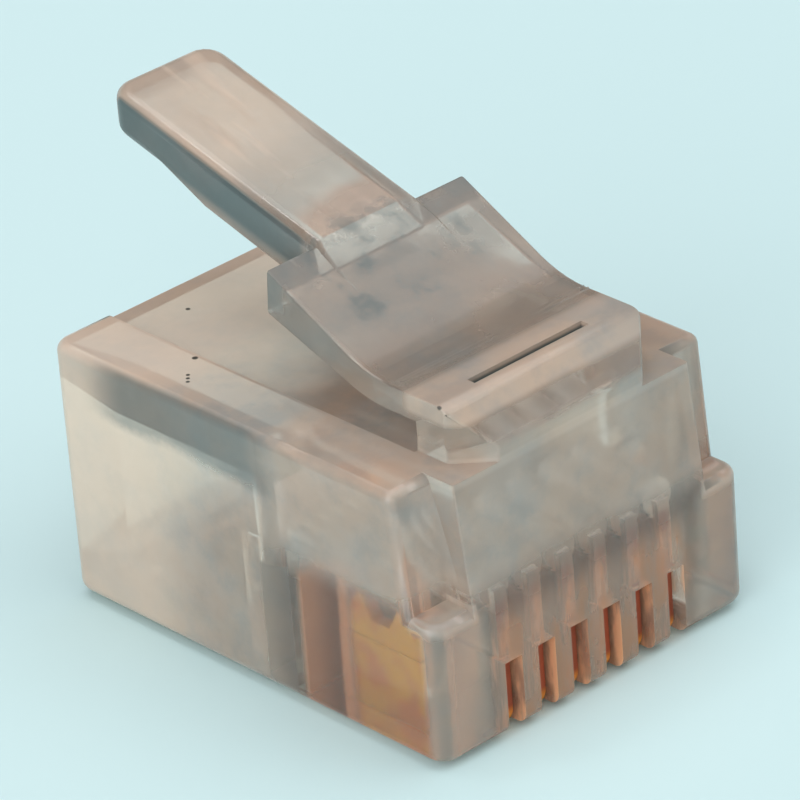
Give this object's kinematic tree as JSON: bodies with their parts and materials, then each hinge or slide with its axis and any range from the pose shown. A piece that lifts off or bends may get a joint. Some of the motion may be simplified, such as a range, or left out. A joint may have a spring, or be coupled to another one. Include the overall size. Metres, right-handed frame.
{
  "type": "six position modular plug",
  "caption": "Clear moulded modular plug with gold contact blades in a comb at the nose, a cable cavity at the rear and a springy locking latch with a finger tab.",
  "frame": {"origin": "on the centre line, where the plane of the nose's front meets the plane of the contact face", "axes": "+Y from the nose to the cable end, +X across the plug, +Z from the contact face up to the latch"},
  "size_m": [0.0096, 0.0135, 0.0116],
  "materials": {
    "clear_plastic": "clear moulded polycarbonate with a warm smoky tint",
    "gold_contact": "gold plated phosphor bronze"
  },
  "bodies": {
    "body": {"housing": "clear_plastic", "contact_1": "gold_contact", "contact_2": "gold_contact", "contact_3": "gold_contact", "contact_4": "gold_contact", "contact_5": "gold_contact", "contact_6": "gold_contact"},
    "latch": {"latch": "clear_plastic"}
  },
  "joints": [
    {"name": "latch_press", "type": "hinge", "parent": "body", "child": "latch", "pos_m": [0, 0.0027, 0.00752], "axis": [-1, 0, 0], "range_deg": [0, 20], "stiffness_Nm_per_rad": 0.1}
  ]
}
